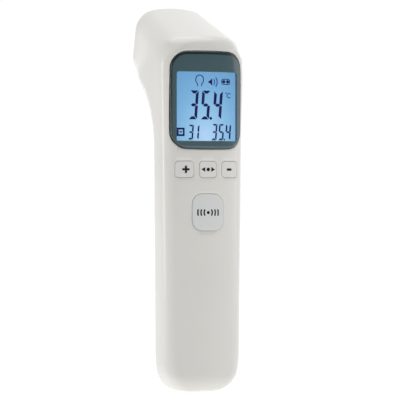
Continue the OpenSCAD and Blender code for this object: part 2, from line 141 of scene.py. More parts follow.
def turned_up(radius, turn, start):
    """Point on an arc that leaves start going up and turns towards +Y."""
    return start + Vector((radius * (1 - cos(turn)), radius * sin(turn)))


def front_path(s):
    brow_start = Vector((FRONT_Y, BROW_Z))
    if s <= 1:
        return Vector((FRONT_Y, mix(FAN_Z, BROW_Z, s)))
    if s <= 2:
        return turned_up(BROW_R, BROW_TURN * (s - 1), brow_start)
    return turned_up(BROW_R, BROW_TURN, brow_start).lerp(NOSE_HIGH, s - 2)


def rear_path(s):
    neck_start = Vector((BACK_Y, FAN_Z))
    if s <= 1:
        return turned_up(NECK_R, NECK_TURN * s, neck_start)
    return turned_up(NECK_R, NECK_TURN, neck_start).lerp(NOSE_LOW, s - 1)


def grip_half_w(z):
    return mix(FOOT_HALF_W, HEAD_HALF_W, min(z / 130, 1))


def head_corner_r(s):
    if s <= 1.5:
        return mix(FRONT_CORNER_R, BROW_CORNER_R, ease((s - 0.6) / 0.9))
    return mix(BROW_CORNER_R, NOSE_CORNER_R, ease((s - 1.5) / 1.5))


# A station is a cross-section: front point, rear point, half width, front and rear corner radius
def foot_station(a):
    """Station of the rounded foot; a goes from 0 at the floor to a quarter turn where the grip starts."""
    z = FOOT_H * (1 - cos(a))
    narrow = FOOT_IN_W * (1 - sin(a))
    rise = min(z / FOOT_EDGE_H, 1)
    shrink = 1 - sqrt(1 - (1 - rise) ** 2)
    front = Vector((FRONT_Y + FOOT_IN_FRONT * shrink, z))
    rear = Vector((BACK_REACH - FOOT_IN_BACK * shrink, z))
    return front, rear, FOOT_HALF_W - narrow, FRONT_CORNER_R - narrow * 0.3, REAR_CORNER_R - narrow * 0.3


def grip_station(t):
    z = mix(FOOT_H, FAN_Z, t)
    rear = Vector((mix(BACK_REACH, BACK_Y, z / FAN_Z), z))
    return Vector((FRONT_Y, z)), rear, grip_half_w(z), FRONT_CORNER_R, REAR_CORNER_R


def head_station(s, q):
    """Station of the head, s along the front path and q along the rear path."""
    front = front_path(s)
    half_w = mix(HEAD_HALF_W, NOSE_HALF_W, ease(s - 2)) if s > 2 else grip_half_w(front.y)
    return front, rear_path(q), half_w, head_corner_r(s), mix(REAR_CORNER_R, NOSE_REAR_R, s / 3)


def nose_rim_station(a):
    """Station of the rounding where the nose's sides meet its face."""
    inward = NOSE_RIM_R * (1 - cos(a))
    ahead = NOSE_RIM_R * sin(a) * NOSE_OUT
    return (NOSE_HIGH - inward * NOSE_UP + ahead, NOSE_LOW + inward * NOSE_UP + ahead,
            NOSE_HALF_W - inward, NOSE_CORNER_R - inward, NOSE_REAR_R - inward)


def stations_along(make, n, start=0.0, end=1.0):
    return [make(mix(start, end, i / n)) for i in range(n + 1)]


def casing_parts():
    """Stations of the solid foot, the hollow grip and head, and the solid nose face.
    Neighbouring parts are a hair apart, because two rings in one plane break the booleans."""
    floor_turn = acos(1 - WALL / FOOT_H)
    foot = stations_along(foot_station, round(2 * DETAIL), 0, floor_turn - 0.01)
    body = stations_along(foot_station, round(5 * DETAIL), floor_turn, QUARTER)
    body += stations_along(grip_station, round(12 * DETAIL))[1:]
    for start, low, high, n, end in ((0, 0, REAR_AT_BROW, 8, 1), (1, REAR_AT_BROW, REAR_AT_TOP, 6, 1),
                                     (2, REAR_AT_TOP, 2, 8, 0.985)):
        def station(t):
            return head_station(start + t, mix(low, high, t))
        body += stations_along(station, round(n * DETAIL), 0, end)[1:]
    nose = [head_station(2.99, 1.995)] + stations_along(nose_rim_station, round(1.6 * DETAIL), 0, QUARTER)
    return foot, body, nose


def arc_radius(half_w, corner_r):
    """Corner radius, held a little below the half width."""
    return min(corner_r, half_w * 0.95)


def crown_depth(x, crown_r):
    """How far a crown lies behind its middle line, x to the side."""
    return crown_r - sqrt(crown_r * crown_r - x * x)


def rounded_half(half_w, half_d, corner_r, crown_r, start, end, n):
    """Points on the corner arc of a crowned, rounded half section, between two turns."""
    r = arc_radius(half_w, corner_r)
    corner_v = half_d - crown_r + sqrt((crown_r - r) ** 2 - (half_w - r) ** 2)
    turns = [mix(start, end, i / n) for i in range(n + 1)]
    return [(half_w - r + r * sin(a), corner_v + r * cos(a)) for a in turns]


def crowned_face(half_w, half_d, corner_r, crown_r):
    """Points on the crown from the middle line to the corner arc, and the arc's first turn."""
    r = arc_radius(half_w, corner_r)
    turn = asin((half_w - r) / (crown_r - r))
    turns = [turn * i / N_FACE for i in range(N_FACE)]
    return [(crown_r * sin(a), half_d - crown_r + crown_r * cos(a)) for a in turns], turn


def seam_turn(half_w, corner_r, crown_r, depth):
    """Turn on the rear corner arc where it is depth in front of the rear line."""
    r = arc_radius(half_w, corner_r)
    drop = crown_r - sqrt((crown_r - r) ** 2 - (half_w - r) ** 2)
    return acos(min(max((drop - depth) / r, 0.01), 0.99))


def half_profile(station, t, forward, depth):
    """Right half of a shell's section, inset by t, from the middle line to the seam.
    depth is how far in front of the outer rear line it ends."""
    half_d = (station[0] - station[1]).length / 2 - t
    half_w = station[2] - t
    front = half_w, half_d, station[3] - t, FRONT_CROWN_R - t
    rear = half_w, half_d, station[4] - t, REAR_CROWN_R - t
    cut_turn = seam_turn(half_w, station[4] - t, REAR_CROWN_R - t, depth - t)
    if forward:
        face, turn = crowned_face(*front)
        side = rounded_half(*rear, QUARTER, cut_turn, N_TAIL)
        return face + rounded_half(*front, turn, QUARTER, N_CORNER) + [(x, -v) for x, v in side]
    face, turn = crowned_face(*rear)
    return [(x, -v) for x, v in face + rounded_half(*rear, turn, cut_turn, N_CORNER)]


def shell_ring(station, forward, hollow):
    """Closed outline of a shell's section; where it is solid, its inside is a straight line along the seam."""
    toward = 1 if forward else -1
    depth = min(SEAM_DEPTH, station[4] * 0.93) + toward * SEAM_GAP
    outer = half_profile(station, 0, forward, depth + toward * SEAM_EDGE)
    edge_x, edge_v = outer[-1][0] - SEAM_EDGE, outer[-1][1] - toward * SEAM_EDGE
    if hollow:
        inner = half_profile(station, WALL, forward, depth)
        inside = inner[::-1] + [(-x, v) for x, v in inner[1:]]
    else:
        n = 2 * len(outer) - 1
        inside = [(mix(edge_x, -edge_x, (i + 1) / (n + 1)), edge_v) for i in range(n)]
    outside = [(-x, v) for x, v in outer[:0:-1]] + outer
    outline = outside + [(edge_x, edge_v)] + inside + [(-edge_x, edge_v)]
    middle = (station[0] + station[1]) / 2
    across = (station[0] - station[1]).normalized()
    points = [(x, middle.x + across.x * v, middle.y + across.y * v) for x, v in outline]
    return [Vector((x, min(y, CAD_BACK_Y), min(z, CAD_TOP_Z))) for x, y, z in points]


def crown_drop(x, half_w, r, crown):
    """How far a crowned face with rounded corners lies behind its middle line, x to the side."""
    turn = asin((half_w - r) / (crown - r))
    if x <= crown * sin(turn):
        return crown_depth(x, crown)
    reach = min(x - (half_w - r), r * 0.98)
    return crown - sqrt((crown - r) ** 2 - (half_w - r) ** 2) - sqrt(r * r - reach * reach)


def grip_front(x, z):
    """Place along Y of the grip's front."""
    return FRONT_Y + crown_drop(abs(x), grip_half_w(z), FRONT_CORNER_R, FRONT_CROWN_R)


def grip_back(x, z):
    """Place along Y of the grip's back."""
    reach = mix(BACK_REACH, BACK_Y, z / FAN_Z)
    return reach - crown_drop(abs(x), grip_half_w(z), REAR_CORNER_R, REAR_CROWN_R)


def crown_cylinder(x, raised):
    """Place along Y of a cylinder that runs parallel to the crowned front, raised outwards."""
    return FRONT_Y - raised + crown_depth(x, FRONT_CROWN_R + raised)


# ======== mesh helpers
def linked(name, data):
    """New object that holds the data, in the scene."""
    made = bpy.data.objects.new(name, data)
    bpy.context.scene.collection.objects.link(made)
    return made


def new_object(name, points, faces):
    """Makes an object whose mesh is in millimetres until fit_out scales it."""
    mesh = bpy.data.meshes.new(name)
    mesh.from_pydata([Vector(p) for p in points], [], faces)
    mesh.validate()
    return linked(name, mesh)


def face_outwards(mesh):
    """Turns the faces of a closed mesh outwards."""
    volume = 0.0
    for poly in mesh.polygons:
        corners = [mesh.vertices[v].co for v in poly.vertices]
        for a, b in zip(corners[1:], corners[2:]):
            volume += corners[0].dot(a.cross(b))
    if volume < 0:
        mesh.flip_normals()


def loft(name, rings, closed_loop=False):
    """Skin through rings of equal length; open ends are closed with fans round their middle points."""
    points = [p for ring in rings for p in ring]
    m, n = len(rings[0]), len(rings)
    faces = []
    for i in range(n if closed_loop else n - 1):
        low, high = i * m, (i + 1) % n * m
        for j in range(m):
            k = (j + 1) % m
            faces.append((low + j, low + k, high + k, high + j))
    if not closed_loop:
        for start, ring, step in ((0, rings[0], -1), ((n - 1) * m, rings[-1], 1)):
            centre = len(points)
            points.append(sum((Vector(p) for p in ring), Vector((0, 0, 0))) / m)
            faces += [(start + j, start + (j + 1) % m, centre)[::step] for j in range(m)]
    piece = new_object(name, points, faces)
    face_outwards(piece.data)
    return piece


def discard(piece):
    mesh = piece.data
    bpy.data.objects.remove(piece)
    bpy.data.meshes.remove(mesh)


def joined(name, pieces):
    """One object made of several separate solids."""
    points, faces = [], []
    for piece in pieces:
        start = len(points)
        points += [v.co.copy() for v in piece.data.vertices]
        faces += [tuple(start + i for i in poly.vertices) for poly in piece.data.polygons]
        discard(piece)
    return new_object(name, points, faces)


def carve(piece, tool, operation="DIFFERENCE"):
    """Applies one boolean with the tool, and removes the tool."""
    modifier = piece.modifiers.new("carve", "BOOLEAN")
    modifier.operation = operation
    modifier.object = tool
    modifier.solver = "EXACT"
    depsgraph = bpy.context.evaluated_depsgraph_get()
    result = bpy.data.meshes.new_from_object(piece.evaluated_get(depsgraph))
    piece.modifiers.clear()
    old = piece.data
    piece.data = result
    bpy.data.meshes.remove(old)
    discard(tool)


def fit_out(piece, body, mats, nodes=(), degrees=38):
    """Scales a finished piece to metres and gives it its shading, materials, body and replaced nodes."""
    mesh = piece.data
    mesh.transform(Matrix.Scale(MM, 4))
    mesh.polygons.foreach_set("use_smooth", [True] * len(mesh.polygons))
    mesh.set_sharp_from_angle(angle=radians(degrees))
    wanted = [poly.material_index for poly in mesh.polygons]
    mesh.materials.clear()
    for mat in mats:
        mesh.materials.append(mat)
    mesh.polygons.foreach_set("material_index", [min(i, len(mats) - 1) for i in wanted])
    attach(piece, body)
    if nodes:
        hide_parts(*nodes)


# ======== outlines in X and Z
def arc(centre, radius, turns):
    return [(centre[0] + radius * cos(a), centre[1] + radius * sin(a)) for a in turns]


def rounded_outline(half_w, half_h, radii, centre=(0, 0), bow=(0, 0), per_corner=8, per_side=6):
    """Rounded rectangle, anticlockwise seen from the front, with a top and a bottom corner radius.
    bow pushes its sides, and its top and bottom, outwards in the middle."""
    corners = ((1, 1, radii[0]), (-1, 1, radii[0]), (-1, -1, radii[1]), (1, -1, radii[1]))
    arcs = []
    for k, (sx, sz, r) in enumerate(corners):
        turns = [QUARTER * k + a for a in quarter_turns(per_corner)]
        arcs.append(arc((sx * (half_w - r), sz * (half_h - r)), r, turns))
    outline = []
    for arc_points, following in zip(arcs, arcs[1:] + arcs[:1]):
        (x0, z0), (x1, z1) = arc_points[-1], following[0]
        outline += arc_points
        outline += [(mix(x0, x1, i / per_side), mix(z0, z1, i / per_side)) for i in range(1, per_side)]
    bowed = []
    for x, z in outline:
        out_x = bow[0] * (1 - (z / half_h) ** 2) * x / half_w
        out_z = bow[1] * (1 - (x / half_w) ** 2) * z / half_h
        bowed.append((x + out_x + centre[0], z + out_z + centre[1]))
    return bowed


def grown(outline, distance):
    """The outline moved outwards along its own normals."""
    moved = []
    for i, (x, z) in enumerate(outline):
        before, after = outline[i - 1], outline[(i + 1) % len(outline)]
        along = Vector((after[0] - before[0], after[1] - before[1])).normalized()
        moved.append((x + along.y * distance, z - along.x * distance))
    return moved


def scaled(outline, factor):
    cx = sum(x for x, _ in outline) / len(outline)
    cz = sum(z for _, z in outline) / len(outline)
    return [(mix(cx, x, factor), mix(cz, z, factor)) for x, z in outline]


def between(outline, other, t):
    return [(mix(a[0], b[0], t), mix(a[1], b[1], t)) for a, b in zip(outline, other)]


def placed(outline, place_y):
    """The outline as a 3D ring; place_y(x, z) gives its place along Y."""
    return [Vector((x, place_y(x, z), z)) for x, z in outline]


def rounding(radius):
    """Steps (inwards, down) round a quarter-circle edge, from its side to its top."""
    return [(radius * (1 - cos(a)), radius * (1 - sin(a))) for a in quarter_turns(5)]


def flat_ring(outline, y):
    return [Vector((x, y, z)) for x, z in outline]


def circle(centre, radius, n=40):
    return arc(centre, radius, full_turns(n))


def lipped_cutter(name, outline, surface, inwards, lip_r, floor, beyond=()):
    """Cutter for a hole with a rounded lip through the surface, down to floor(x, z) and on through beyond.
    inwards is +1 on the front of the casing and -1 on its back."""
    steps = [(lip_r + 0.4, -4.0), (lip_r + 0.06, -0.06)]
    steps += rounding(lip_r)[-2::-1]
    rings = []
    for offset, deep in steps:
        rings.append(placed(grown(outline, offset), lambda x, z: surface(x, z) + inwards * deep))
    return loft(name, rings + [placed(outline, floor)] + list(beyond))


def block(name, low, high, soft=0.15):
    """Box with softened edges, from corner to corner."""
    half = (high[0] - low[0]) / 2, (high[2] - low[2]) / 2
    centre = (low[0] + high[0]) / 2, (low[2] + high[2]) / 2
    outline = rounded_outline(*half, (soft, soft), centre, per_corner=3, per_side=1)
    inner = rounded_outline(half[0] - soft, half[1] - soft, (soft / 2, soft / 2), centre,
                            per_corner=3, per_side=1)
    steps = ((inner, low[1]), (outline, low[1] + soft), (outline, high[1] - soft), (inner, high[1]))
    return loft(name, [flat_ring(ring, y) for ring, y in steps])


def tube(name, path, radius, sides=8):
    """Round tube along a path of points."""
    rings = []
    for i, p in enumerate(path):
        along = (path[min(i + 1, len(path) - 1)] - path[max(i - 1, 0)]).normalized()
        side = along.cross(Vector((0, 0, 1)) if abs(along.z) < 0.9 else Vector((0, 1, 0))).normalized()
        up = side.cross(along)
        rings.append([p + radius * (cos(a) * side + sin(a) * up) for a in full_turns(sides)])
    return loft(name, rings)


def nose_point(z, radius, angle):
    """Point in the nose's own frame: z out along the line of sight."""
    flat = NOSE_MID + z * NOSE_OUT + radius * sin(angle) * NOSE_UP
    return Vector((radius * cos(angle), flat.x, flat.y))


def upright(x, y):
    """Places a turned shape on an upright axis."""
    return lambda z, radius, angle: Vector((x + radius * cos(angle), y + radius * sin(angle), z))


def rearwards(x, z):
    """Places a turned shape on an axis along +Y."""
    return lambda y, radius, angle: Vector((x + radius * sin(angle), y, z + radius * cos(angle)))


def turned(name, profile, place, hollow=False, n=64):
    """Turned solid from (radius, height) points; hollow shapes give a closed profile."""
    return loft(name, [[place(h, r, a) for a in full_turns(n)] for r, h in profile], closed_loop=hollow)


# ======== materials
class Tree:
    """Node tree of a material or the world. An input that is given a socket is linked, and any other is set."""

    def __init__(self, owner, shader):
        owner.use_nodes = True
        self.owner, self.tree = owner, owner.node_tree
        self.shader = self.tree.nodes[shader]

    def give(self, node, inputs):
        for key, value in inputs.items():
            if isinstance(value, bpy.types.NodeSocket):
                self.tree.links.new(value, node.inputs[key])
            else:
                node.inputs[key].default_value = value
        return node

    def add(self, kind, inputs, **settings):
        node = self.tree.nodes.new("ShaderNode" + kind)
        for key, value in settings.items():
            setattr(node, key, value)
        return self.give(node, inputs)

    def coordinates(self, output="Object"):
        return self.add("TexCoord", {}).outputs[output]

    def noise(self, size_mm, detail=2.0, stretch=(1, 1, 1)):
        """Noise whose blotches are about size_mm across, in the piece's own coordinates."""
        place = self.add("Mapping", {"Vector": self.coordinates(), "Scale": stretch}).outputs["Vector"]
        inputs = {"Vector": place, "Scale": 1 / (size_mm * MM), "Detail": detail}
        return self.add("TexNoise", inputs).outputs["Fac"]

    def ramp(self, factor, stops, interpolation="LINEAR"):
        node = self.add("ValToRGB", {"Fac": factor})
        elements = node.color_ramp.elements
        while len(elements) < len(stops):
            elements.new(0.5)
        for element, (place, colour) in zip(elements, stops):
            element.position = place
            element.color = (*colour, 1.0)
        node.color_ramp.interpolation = interpolation
        return node.outputs["Color"]

    def remapped(self, value, after, before=(0, 1)):
        """The value moved from one range to another, and held inside it."""
        inputs = {"Value": value, "From Min": before[0], "From Max": before[1]}
        return self.add("MapRange", {**inputs, "To Min": after[0], "To Max": after[1]}).outputs["Result"]

    def vector(self, operation, value, constant=(0, 0, 0)):
        node = self.add("VectorMath", {0: value, 1: constant}, operation=operation)
        return node.outputs["Value" if operation in ("LENGTH", "DOT_PRODUCT") else "Vector"]

    def bump(self, height, strength, depth_mm):
        inputs = {"Height": height, "Strength": strength, "Distance": depth_mm * MM}
        return self.add("Bump", inputs).outputs["Normal"]

    def finished(self, inputs):
        """Gives the shader its inputs, and hands the material back."""
        self.give(self.shader, inputs)
        return self.owner


def new_tree(name):
    return Tree(bpy.data.materials.new(name), "Principled BSDF")


def shade(colour, factor):
    return tuple(min(c * factor, 1.0) for c in colour)


def moulded_plastic(name, colour, roughness=0.42, grain=0.1, coat=0.0):
    """Injection-moulded plastic: faint broad tone changes and a fine spark-eroded grain."""
    tree = new_tree(name)
    fine = tree.noise(0.4)
    tones = [(0.3, shade(colour, 0.985)), (0.7, shade(colour, 1.015))]
    return tree.finished({
        "Base Color": tree.ramp(tree.noise(32, 3), tones),
        "Roughness": tree.remapped(fine, (roughness - 0.05, roughness + 0.07)),
        "Normal": tree.bump(fine, grain, 0.02), "Specular IOR Level": 0.45,
        "Coat Weight": coat, "Coat Roughness": 0.18})


def gloss_lens(name, colour, coat=0.5):
    """Polished tinted panel with a hard clear coat and the faintest waviness."""
    tree = new_tree(name)
    wave = tree.noise(18)
    tones = [(0.35, shade(colour, 0.94)), (0.65, shade(colour, 1.06))]
    return tree.finished({
        "Base Color": tree.ramp(wave, tones), "Normal": tree.bump(wave, 0.04, 0.05),
        "Roughness": tree.remapped(tree.noise(0.4, 1), (0.12, 0.24)),
        "Coat Weight": coat, "Coat Roughness": 0.06})


def clear_pane(name):
    tree = new_tree(name)
    haze = tree.noise(1.1)
    tint = tree.ramp(haze, [(0.2, (0.97, 0.99, 1.0)), (0.8, (1.0, 1.0, 1.0))])
    return tree.finished({
        "Base Color": tint, "Roughness": tree.remapped(haze, (0.0, 0.03)),
        "Transmission Weight": 1.0, "IOR": 1.12})


def lit_display(name, low, high):
    """Edge-lit liquid crystal: deeper blue above, a pale glow at the middle of the lower edge."""
    tree = new_tree(name)
    glow = Vector((mix(low.x, high.x, 0.52), low.y, mix(low.z, high.z, 0.04))) * MM
    offset = tree.vector("SUBTRACT", tree.coordinates(), glow)
    squashed = tree.vector("MULTIPLY", offset, (1.5, 0.0, 1.0))
    fade = tree.remapped(tree.vector("LENGTH", squashed), (0, 1), (0, (high.z - low.z) * MM * 1.1))
    blend = tree.add("Math", {0: tree.noise(1.2, 3), 1: 0.08, 2: fade}, operation="MULTIPLY_ADD")
    stops = [(0.08, (0.45, 0.66, 0.92)), (0.35, (0.30, 0.55, 0.80)), (0.7, (0.19, 0.42, 0.68)),
             (1.0, (0.15, 0.35, 0.61))]
    return tree.finished({
        "Emission Color": tree.ramp(blend.outputs["Value"], stops), "Emission Strength": 1.0,
        "Base Color": (0.01, 0.02, 0.03, 1), "Roughness": 0.5, "Specular IOR Level": 0.1})


def ink(name, colour, glow=(0, 0, 0)):
    """Printed or driven mark: a thin film of slightly uneven colour, with the light that leaks through it."""
    tree = new_tree(name)
    return tree.finished({
        "Base Color": tree.ramp(tree.noise(0.5), [(0.3, colour), (0.8, shade(colour, 1.3))]),
        "Roughness": 0.5, "Specular IOR Level": 0.2,
        "Emission Color": (*glow, 1), "Emission Strength": 1.0})


def metal(name, colour, roughness=0.3, stretch=(1, 1, 1)):
    """Plated, drawn or turned metal with fine tool marks."""
    tree = new_tree(name)
    marks = tree.noise(0.5, 3, stretch)
    return tree.finished({
        "Base Color": tree.ramp(marks, [(0.3, shade(colour, 0.85)), (0.7, colour)]),
        "Roughness": tree.remapped(marks, (roughness * 0.7, roughness * 1.3)),
        "Normal": tree.bump(marks, 0.08, 0.01), "Metallic": 1.0})


def solder_mask(name):
    """Green board: tracks show as slightly raised lines under the lacquer."""
    tree = new_tree(name)
    cells = tree.add("TexVoronoi", {"Vector": tree.coordinates(), "Scale": 420}, distance="MANHATTAN")
    tracks = cells.outputs["Distance"]
    tones = [(0.45, (0.012, 0.085, 0.035)), (0.6, (0.02, 0.13, 0.05))]
    return tree.finished({
        "Base Color": tree.ramp(tracks, tones), "Normal": tree.bump(tracks, 0.2, 0.03),
        "Roughness": 0.3})


def cell_jacket(name, flat_z, button_z):
    """Plain battery sleeve: a dark band at the flat end, a pale ring, then blue foil up to the button."""
    tree = new_tree(name)
    height = tree.add("SeparateXYZ", {"Vector": tree.coordinates()}).outputs["Z"]
    along = tree.remapped(height, (0, 1), (flat_z * MM, button_z * MM))
    bare, dark, blue = (0.55, 0.56, 0.58), (0.015, 0.016, 0.02), (0.03, 0.13, 0.36)
    bands = [(0.0, bare), (0.02, dark), (0.3, bare), (0.32, blue), (0.965, bare)]
    return tree.finished({
        "Base Color": tree.ramp(along, bands, "CONSTANT"), "Metallic": 0.7,
        "Roughness": tree.remapped(tree.noise(0.6), (0.22, 0.36))})


CASING = moulded_plastic("casing_satin", (0.80, 0.79, 0.748), roughness=0.40, coat=0.8)
KEY = moulded_plastic("key_satin", (0.80, 0.79, 0.765), roughness=0.42, grain=0.05)
SCAN_KEY = moulded_plastic("scan_key_satin", (0.76, 0.77, 0.765), roughness=0.36, grain=0.04)
BEZEL = gloss_lens("bezel_teal", (0.058, 0.113, 0.131))
# Near-black teal for the lens's bevel, rim and back: painted shade of the dark band round the lens's edge
BEZEL_EDGE_SHADE = gloss_lens("bezel_edge_painted_shade", (0.012, 0.026, 0.029), coat=0.2)
# Dark violet for the pane's side faces and the lens's wall round the window: painted shade of the dark strip
# along the display's edge
WINDOW_EDGE_SHADE = gloss_lens("window_edge_painted_shade", (0.045, 0.05, 0.22), coat=0.2)
PANE = clear_pane("window_glass")
DISPLAY = lit_display("display_glow", LCD_LOW, LCD_HIGH)
SEGMENT = ink("segment_navy", (0.006, 0.008, 0.075), (0.002, 0.003, 0.04))
FAINT = ink("segment_faint", (0.03, 0.06, 0.25), (0.02, 0.05, 0.2))
LABEL = ink("label_black", (0.006, 0.006, 0.008))
CHROME = metal("mirror_chrome", (0.8, 0.8, 0.82), roughness=0.06)
NICKEL = metal("nickel_plate", (0.72, 0.71, 0.68), roughness=0.25, stretch=(1, 1, 0.2))
CAN = metal("can_plate", (0.7, 0.7, 0.72), roughness=0.2)
NOSE = moulded_plastic("nose_satin", (0.022, 0.024, 0.027), roughness=0.38)
SILICON = gloss_lens("silicon_window", (0.012, 0.014, 0.022))
# Plastics of the CAD nodes that stay: slot, material, colour and roughness
FRAME_PLASTICS = (
    ("white_frame", "frame_white", (0.72, 0.72, 0.70), 0.45),
    ("light_guide", "guide_frost", (0.72, 0.82, 0.88), 0.3),
    ("contact_rubber", "rubber_strip", (0.30, 0.09, 0.13), 0.7),
    ("chip_black", "chip_resin", (0.015, 0.015, 0.017), 0.55),
    ("component_tan", "ceramic_tan", (0.34, 0.24, 0.13), 0.5),
    ("switch_plastic", "switch_grey", (0.05, 0.05, 0.055), 0.5),
    ("plunger_plastic", "plunger_dark", (0.03, 0.03, 0.032), 0.5),
    ("tray_plastic", "tray_satin", (0.60, 0.60, 0.57), 0.45),
    ("ribbon_plastic", "ribbon_white", (0.66, 0.66, 0.62), 0.4))
FRAME_MATERIALS = {slot: moulded_plastic(*look) for slot, *look in FRAME_PLASTICS}
FRAME_MATERIALS |= {
    "circuit_board": solder_mask("board_mask"),
    "steel": metal("zinc_steel", (0.62, 0.62, 0.64)),
    "contact_metal": NICKEL,
    "nose_plastic": NOSE,
    "holder_brass": metal("turned_brass", (0.72, 0.53, 0.22), roughness=0.25, stretch=(0.2, 1, 1)),
    "infrared_window": SILICON,
}

# ======== casing shells
KEY_GAP, KEY_LIP, KEY_FLOOR_Y = 0.2, 0.2, -5.0
SCAN_HALF, SCAN_CORNER, SCAN_BOW, SCAN_PER_CORNER = (6.45, 7.1), 3.5, 0.4, 9
ROW_HALF, ROW_CORNER, ROW_PITCH, ROW_PER_CORNER = (3.5, 3.05), 1.3, 9.6, 6
SCAN_Z, ROW_Z = centre_mm("scan_key").z, centre_mm("mode_key").z
LENS_PROUD, LENS_T, LENS_BOW, LENS_CORNERS = 0.6, 1.5, (0.3, 0.4), (6.0, 5.9)
LENS_GAP, LENS_SEAT_LIP, LENS_SEAT_DEEP, LENS_RIM_DEEP = 0.12, 0.4, 1.05, 0.95
LENS_BEVEL = (1.25, 0.5, 0.3)
LENS_HALF = (BEZEL_HIGH.x, (BEZEL_HIGH.z - BEZEL_LOW.z) / 2 - 0.15)
LENS_Z = (BEZEL_LOW.z + BEZEL_HIGH.z) / 2
WINDOW_HALF = (WINDOW_HIGH.x, (WINDOW_HIGH.z - WINDOW_LOW.z) / 2)
WINDOW_Z = (WINDOW_LOW.z + WINDOW_HIGH.z) / 2
WINDOW_CORNERS = (0.8, 0.4)
OPENING_HALF, OPENING_CORNERS = (13.3, 15.1), (1.5, 3.0)
SCREW_POCKET_R, SCREW_HOLE_R, SCREW_SEAT_Y = 2.5, 1.4, 5.0
DOOR_SEAT_Y, DOOR_EDGE_R = 5.0, 0.3
RIB_Z, RIB_HALF_W, RIB_BACK_Y, RIB_T = (22.0, 50.0), 8, -4.6, 1.2
GROOVES, GROOVE_PITCH, GROOVE_BELOW_TOP = 4, 1.6, 8
HOOK_X, HOOK_HALF_W = 6, 1.5


def scan_outline():
    return rounded_outline(SCAN_HALF[0], SCAN_HALF[1] - SCAN_BOW, (SCAN_CORNER, SCAN_CORNER), (0, SCAN_Z),
                           (0, SCAN_BOW), SCAN_PER_CORNER)


def row_outline(side):
    return rounded_outline(*ROW_HALF, (ROW_CORNER, ROW_CORNER), (side * ROW_PITCH, ROW_Z),
                           per_corner=ROW_PER_CORNER, per_side=4)


def lens_outline(top=0.0, side=0.0, bottom=0.0):
    """Outline of the display lens, drawn in by different amounts at its top, sides and bottom."""
    half_w = LENS_HALF[0] - LENS_BOW[0] - side
    half_h = LENS_HALF[1] - LENS_BOW[1] - (top + bottom) / 2
    radii = LENS_CORNERS[0] - (top + side) / 2, LENS_CORNERS[1] - (bottom + side) / 2
    return rounded_outline(half_w, half_h, radii, (0, LENS_Z - (top - bottom) / 2), LENS_BOW, 12, 12)


def casing_shell(name, forward):
    """Half of the casing, before its openings are cut."""
    foot, body, nose = casing_parts()
    rings = []
    for stations, hollow in ((foot, False), (body, True), (nose, False)):
        rings += [shell_ring(station, forward, hollow) for station in stations]
    return loft(name, rings)


FRONT_SHELL = casing_shell("front_shell_skin", True)
FRONT_TREE = BVHTree.FromPolygons([v.co for v in FRONT_SHELL.data.vertices],
                                  [tuple(poly.vertices) for poly in FRONT_SHELL.data.polygons])


def head_front(x, z):
    """Place along Y of the casing's front, where its sections fan out."""
    return FRONT_TREE.ray_cast(Vector((x, -60, z)), Vector((0, 1, 0)))[0].y


def nose_bore():
    """Bore for the nose ring, with a softened rim."""
    lip, bore_r = 0.4, RING_R + 0.15
    clear_r = bore_r + lip + 0.1
    profile = [(bore_r, -6.0)]
    profile += [(bore_r + out, NOSE_RIM_R - down) for out, down in rounding(lip)]
    profile += [(clear_r, NOSE_RIM_R + 0.1), (clear_r, NOSE_RIM_R + 4)]
    return turned("nose_bore", profile, nose_point)


def pillar(x, z, low, high, r, bore_r, bore_low):
    """Screw pillar with a blind bore in its rear end."""
    return turned("pillar", [(r, low), (r, high), (bore_r, high), (bore_r, bore_low)], rearwards(x, z), n=32)


def screw_pocket(x, z):
    """Cutter for a lipped pocket in the back and the screw's way through its floor."""
    way_through = circle((x, z), SCREW_HOLE_R)
    beyond = [flat_ring(way_through, y) for y in (SCREW_SEAT_Y, 0.0)]
    return lipped_cutter("screw_pocket", circle((x, z), SCREW_POCKET_R), grip_back, -1, 0.3,
                         lambda x, z: SCREW_SEAT_Y, beyond)


def make_front_shell():
    shell = FRONT_SHELL
    for outline in [scan_outline()] + [row_outline(side) for side in (-1, 0, 1)]:
        hole = grown(outline, KEY_GAP)
        carve(shell, lipped_cutter("key_hole", hole, grip_front, 1, KEY_LIP, lambda x, z: KEY_FLOOR_Y))
    seat = grown(lens_outline(), LENS_GAP)
    carve(shell, lipped_cutter("lens_seat", seat, head_front, 1, LENS_SEAT_LIP,
                               lambda x, z: head_front(x, z) + LENS_SEAT_DEEP))
    opening = rounded_outline(*OPENING_HALF, OPENING_CORNERS, (0, WINDOW_Z))
    carve(shell, loft("display_opening", [flat_ring(opening, y) for y in (FRONT_Y - 3, -4)]))
    carve(shell, nose_bore())
    inside = FRONT_Y + WALL
    for side in (-1, 1):
        screw = pillar(side * SCREW_X, SCREW_Z, low=inside + 0.3, high=3.2, r=2.6, bore_r=1.25, bore_low=-6)
        carve(shell, screw, "UNION")
        post = pillar(side * POST_X, POST_Z, low=inside + 0.2, high=-3.9, r=1.7, bore_r=0.85, bore_low=-6.8)
        carve(shell, post, "UNION")
    for z in RIB_Z:
        rib = block("tray_rib", (-RIB_HALF_W, FRONT_Y + 1.4, z), (RIB_HALF_W, RIB_BACK_Y, z + RIB_T))
        carve(shell, rib, "UNION")
    fit_out(shell, "casing", [CASING], ["front_shell"])


def door_outline(gap):
    low, high = DOOR_LOW_Z - gap, DOOR_HIGH.z + gap
    corner = DOOR_CORNER_R + gap
    return rounded_outline(DOOR_HIGH.x + gap, (high - low) / 2, (corner, corner), (0, (low + high) / 2),
                           per_corner=6, per_side=12)


